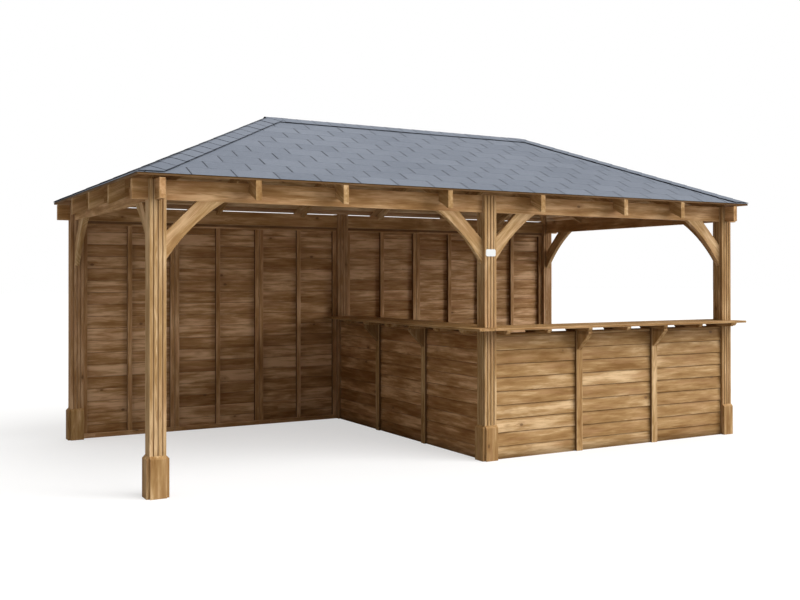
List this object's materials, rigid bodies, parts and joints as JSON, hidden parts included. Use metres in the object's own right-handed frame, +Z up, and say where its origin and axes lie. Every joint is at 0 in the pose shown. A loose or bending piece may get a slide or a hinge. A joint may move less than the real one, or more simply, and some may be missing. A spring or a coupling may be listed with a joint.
{
  "type": "garden bar shelter",
  "caption": "Timber garden shelter with a hipped shingle roof, a boarded rear wall and an L-shaped boarded bar with a raised counter in its right bay.",
  "frame": {"origin": "centre of the footprint, on the ground", "axes": "+X to the right along the open front, +Y to the rear wall, +Z up"},
  "size_m": [6.06, 3.2495, 3.0304],
  "materials": {
    "posts": "stained softwood, grooved",
    "beams": "stained softwood",
    "rafters": "stained softwood",
    "roof_boards": "stained softwood boards",
    "shingles": "blue grey mineral felt",
    "caps": "blue grey mineral felt",
    "rear_wall": "stained softwood boards",
    "bar_wall": "stained softwood boards",
    "counter": "stained softwood planks",
    "plate": "plain white"
  },
  "bodies": {
    "root": {"bar_cover_battens": "bar_wall", "bar_front_boards": "bar_wall", "bar_front_frame": "bar_wall", "bar_side_boards": "bar_wall", "bar_side_frame": "bar_wall", "beam_front": "beams", "beam_left": "beams", "beam_rear": "beams", "beam_right": "beams", "blank_plate": "plate", "braces_front": "beams", "braces_left": "beams", "braces_right": "beams", "common_rafters": "rafters", "counter_bearers": "counter", "counter_brackets": "counter", "counter_end_batten": "counter", "counter_front": "counter", "counter_side": "counter", "end_rafters": "rafters", "foot_boards": "posts", "hip_caps": "caps", "hip_rafters": "rafters", "jack_rafters": "rafters", "post_front_left": "posts", "post_front_middle": "posts", "post_front_right": "posts", "post_rear_left": "posts", "post_rear_middle": "posts", "post_rear_right": "posts", "rear_cover_battens": "rear_wall", "rear_wall_boards": "rear_wall", "rear_wall_rails": "rear_wall", "rear_wall_sticks": "rear_wall", "ridge_board": "rafters", "ridge_cap": "caps", "roof_boards_front": "roof_boards", "roof_boards_left": "roof_boards", "roof_boards_rear": "roof_boards", "roof_boards_right": "roof_boards", "shingles_front": "shingles", "shingles_left": "shingles", "shingles_rear": "shingles", "shingles_right": "shingles"}
  },
  "joints": []
}
